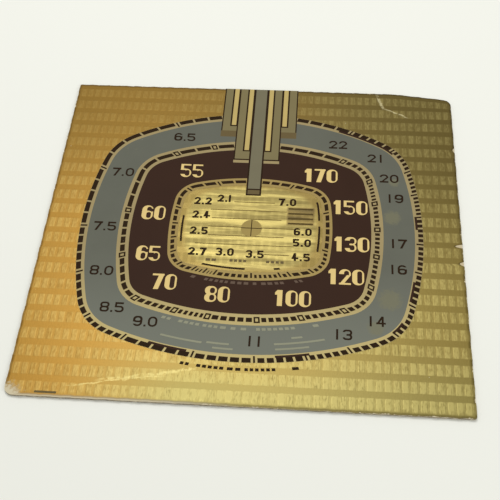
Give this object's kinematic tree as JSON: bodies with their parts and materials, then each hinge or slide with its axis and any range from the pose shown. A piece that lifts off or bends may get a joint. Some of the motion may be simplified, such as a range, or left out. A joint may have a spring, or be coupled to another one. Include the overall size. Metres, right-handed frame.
{
  "type": "radio tuning dial card",
  "caption": "Flat gold-foil tuning dial card with nested bulged scales, plain numerals, a stepped bar ornament and a marked shaft centre.",
  "frame": {"origin": "middle of the card's back face, in line with the printed shaft centre", "axes": "+X to the right of the scale, +Y to its top edge, +Z out of the printed face"},
  "size_m": [0.1906, 0.1778, 0.0015],
  "materials": {
    "card_stock": "pale pressed card, worn along the edges",
    "paste": "dried paste",
    "gold_foil": "embossed gold foil paper, satin",
    "tan_ink": "flat ink",
    "blue_ink": "flat blue-grey ink",
    "maroon_ink": "flat maroon ink",
    "dark_ink": "flat dark brown ink",
    "cream_ink": "flat cream ink",
    "faded_ink": "cream ink worn to a faint trace",
    "grey_ink": "flat warm grey ink",
    "olive_ink": "flat olive ink",
    "brown_ink": "flat brown ink",
    "shade_ink": "thin transparent brown ink"
  },
  "bodies": {
    "root": {"backing_board": "card_stock", "paste_film": "paste", "foil_face": "gold_foil", "inner_scale_bed": "tan_ink", "maroon_band": "maroon_ink", "middle_scale_bed": "tan_ink", "blue_band": "blue_ink", "outer_scale_bed": "tan_ink", "tower_centre_bar": "grey_ink", "tower_centre_cap": "brown_ink", "tower_middle_faces": "olive_ink", "tower_middle_caps": "tan_ink", "tower_middle_slots": "cream_ink", "tower_outer_faces": "olive_ink", "tower_outer_caps": "brown_ink", "tower_outer_slots": "cream_ink", "tower_outlines": "dark_ink", "inner_scale_blocks": "dark_ink", "inner_scale_marks": "dark_ink", "middle_scale_blocks": "dark_ink", "middle_scale_marks": "dark_ink", "outer_scale_blocks": "dark_ink", "outer_scale_marks": "dark_ink", "outer_range_bars": "maroon_ink", "outer_numerals": "dark_ink", "middle_numerals": "cream_ink", "centre_numerals": "dark_ink", "shaft_guide_disc": "shade_ink", "shaft_guide_cross": "dark_ink", "centre_field_lines": "shade_ink", "centre_range_rules": "dark_ink", "outer_title_dashes": "dark_ink", "blue_title_dashes": "faded_ink", "maroon_title_dashes": "faded_ink", "centre_title_dashes": "brown_ink", "blue_note_rules": "faded_ink", "centre_note_rules": "brown_ink", "corner_note_rule": "dark_ink"}
  },
  "joints": []
}
